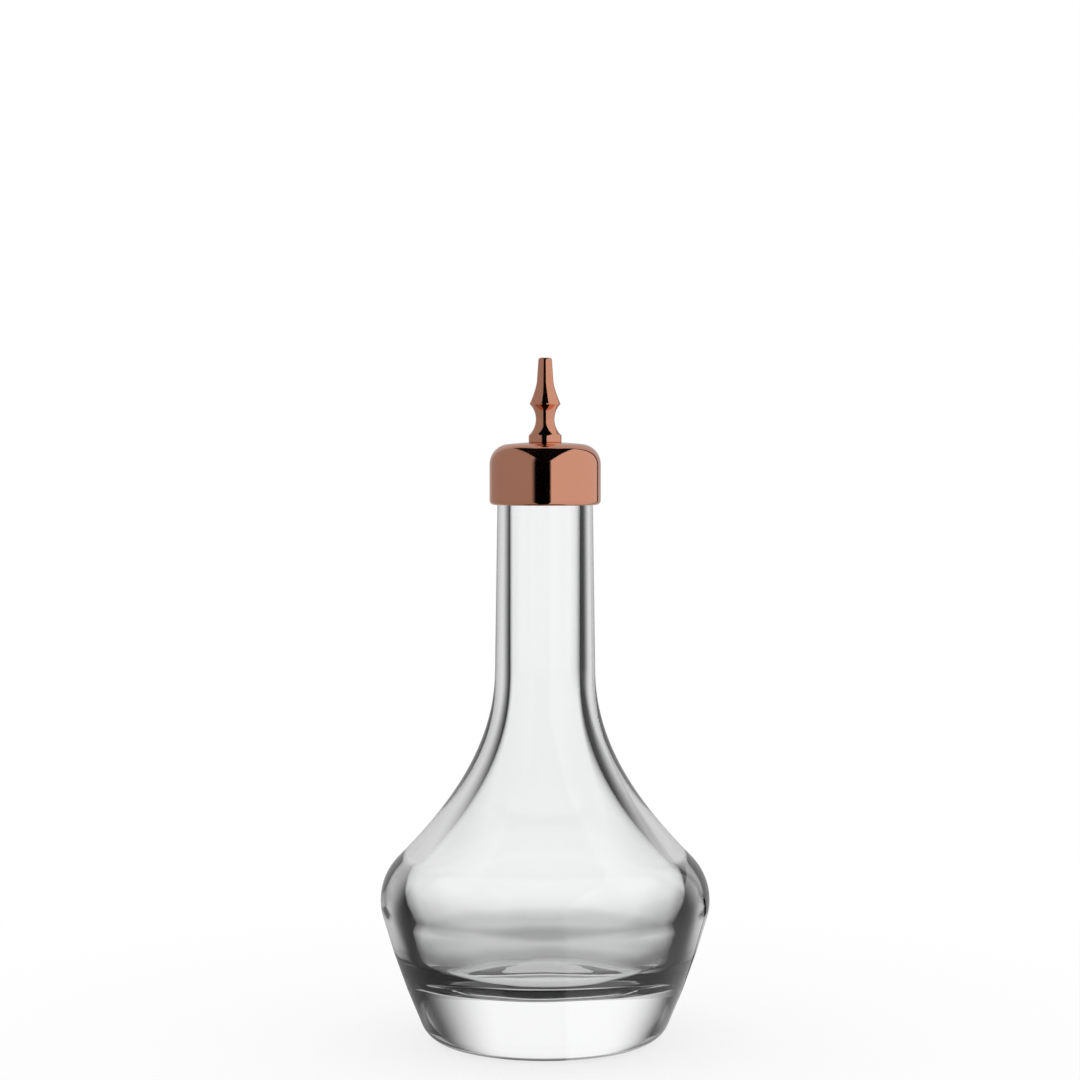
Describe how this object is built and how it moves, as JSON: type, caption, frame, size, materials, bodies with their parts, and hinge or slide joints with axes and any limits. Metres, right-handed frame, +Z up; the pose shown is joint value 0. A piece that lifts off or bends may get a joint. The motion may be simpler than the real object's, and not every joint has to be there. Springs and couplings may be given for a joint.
{
  "type": "bitters bottle",
  "caption": "Thick clear glass bitters bottle with a wide belly, an ogee shoulder and a long neck, closed by a push-in copper-plated dasher top with a slim turned spout.",
  "frame": {"origin": "centre of the standing ring, on the plane the bottle stands on", "axes": "+Z up along the bottle's axis, from the base to the dasher's tip"},
  "size_m": [0.07, 0.07, 0.145],
  "materials": {
    "clear_glass": "clear, fire polished",
    "copper_plate": "copper plated, mirror polished",
    "bare_brass": "machined",
    "plug_plastic": "moulded, natural white",
    "soft_seal": "soft silicone"
  },
  "bodies": {
    "bottle": {"glass_bottle": "clear_glass"},
    "stopper": {"stopper_core": "plug_plastic", "rim_gasket": "soft_seal", "upper_seal_ring": "soft_seal", "lower_seal_ring": "soft_seal"},
    "dasher": {"cap_shell": "copper_plate", "nozzle": "copper_plate", "nozzle_washer": "plug_plastic", "nozzle_nut": "bare_brass"}
  },
  "joints": [
    {"name": "stopper_pull", "type": "slide", "parent": "bottle", "child": "stopper", "axis": [0, 0, 1], "range_m": [0, 0.03]},
    {"name": "dasher_twist", "type": "hinge", "parent": "stopper", "child": "dasher", "pos_m": [0, 0, 0.12], "axis": [0, 0, 1], "continuous": true}
  ]
}
